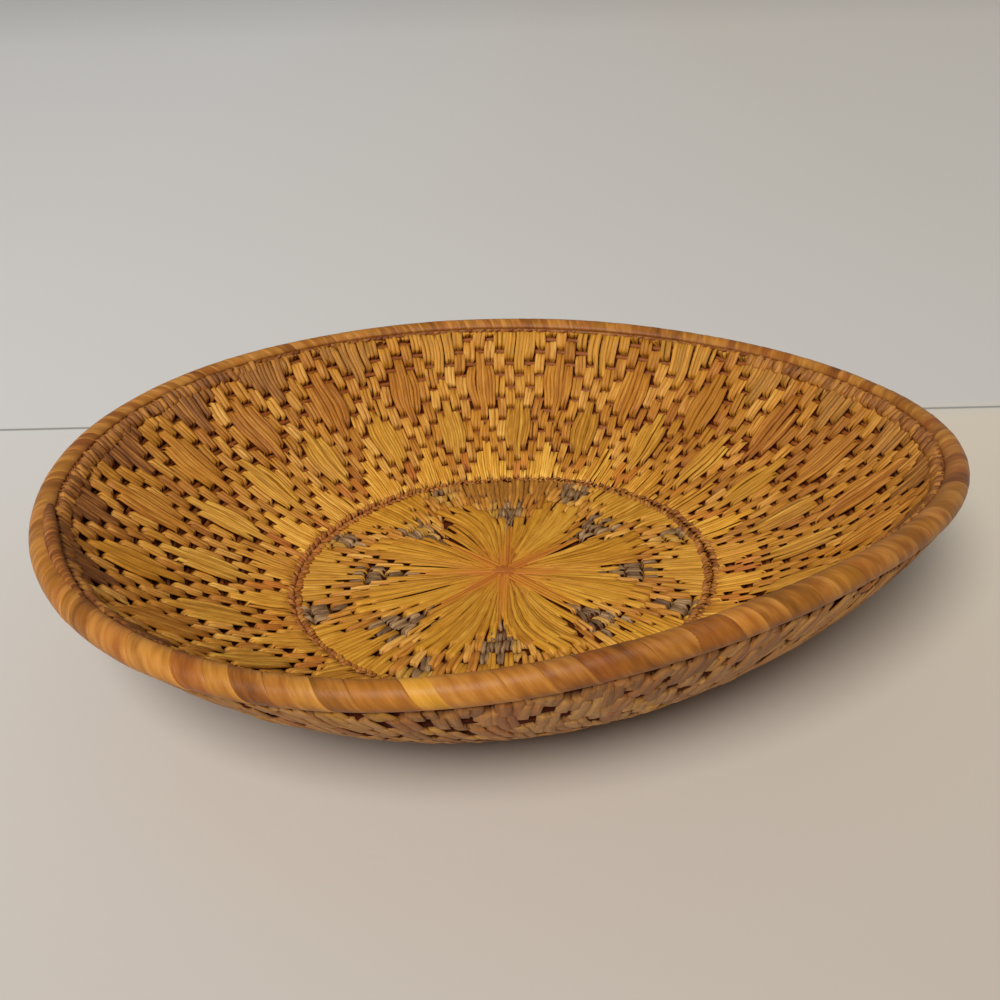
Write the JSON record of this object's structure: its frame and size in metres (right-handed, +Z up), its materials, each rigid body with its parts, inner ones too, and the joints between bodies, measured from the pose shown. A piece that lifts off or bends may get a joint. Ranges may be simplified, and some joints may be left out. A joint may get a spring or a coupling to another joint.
{
  "type": "coiled grass basket",
  "caption": "Shallow round bowl basket of coiled grass, stitched with a petal rosette on the floor and staggered lens motifs up the wall, with a wrapped rim.",
  "frame": {"origin": "the middle of the flat underside of the floor, on the surface that the basket stands on", "axes": "+Z up through the open top; +X to the right and -Y to the front as pictured"},
  "size_m": [0.3198, 0.3031, 0.0673],
  "materials": {
    "coil_grass": "dark red-brown bundled grass, matt, seen only in the pits between stitches",
    "golden_stitches": "golden yellow flat grass strands with fine lengthwise fibres, satin",
    "orange_stitches": "orange-tan flat grass strands with fine lengthwise fibres, satin",
    "mauve_grey_stitches": "mauve-grey short stitches, matt",
    "red_brown_cord": "thin red-brown cord with small slanting stitches",
    "rim_wrapping": "orange-tan flat strips wrapped over the rim, worn to a soft gloss"
  },
  "bodies": {
    "root": {"start_knot": "red_brown_cord", "floor_coil": "coil_grass", "petal_stitches_1": "golden_stitches", "petal_stitches_2": "golden_stitches", "petal_stitches_3": "golden_stitches", "petal_stitches_4": "golden_stitches", "petal_stitches_5": "golden_stitches", "petal_stitches_6": "golden_stitches", "petal_stitches_7": "golden_stitches", "petal_stitches_8": "golden_stitches", "floor_fan_stitches_1": "golden_stitches", "floor_fan_stitches_2": "golden_stitches", "floor_fan_stitches_3": "golden_stitches", "floor_fan_stitches_4": "golden_stitches", "floor_fan_stitches_5": "golden_stitches", "floor_fan_stitches_6": "golden_stitches", "floor_fan_stitches_7": "golden_stitches", "floor_fan_stitches_8": "golden_stitches", "inner_grey_stitches_1": "mauve_grey_stitches", "inner_grey_stitches_2": "mauve_grey_stitches", "inner_grey_stitches_3": "mauve_grey_stitches", "inner_grey_stitches_4": "mauve_grey_stitches", "inner_grey_stitches_5": "mauve_grey_stitches", "inner_grey_stitches_6": "mauve_grey_stitches", "inner_grey_stitches_7": "mauve_grey_stitches", "inner_grey_stitches_8": "mauve_grey_stitches", "outer_grey_stitches_1": "mauve_grey_stitches", "outer_grey_stitches_2": "mauve_grey_stitches", "outer_grey_stitches_3": "mauve_grey_stitches", "outer_grey_stitches_4": "mauve_grey_stitches", "outer_grey_stitches_5": "mauve_grey_stitches", "outer_grey_stitches_6": "mauve_grey_stitches", "outer_grey_stitches_7": "mauve_grey_stitches", "outer_grey_stitches_8": "mauve_grey_stitches", "border_cord": "red_brown_cord", "wall_coil": "coil_grass", "base_fan_stitches": "golden_stitches", "lower_lens_stitches": "orange_stitches", "upper_lens_stitches": "golden_stitches", "top_fan_stitches": "orange_stitches", "collar_cord": "red_brown_cord", "rim_core": "coil_grass", "rim_wrap": "rim_wrapping"}
  },
  "joints": []
}
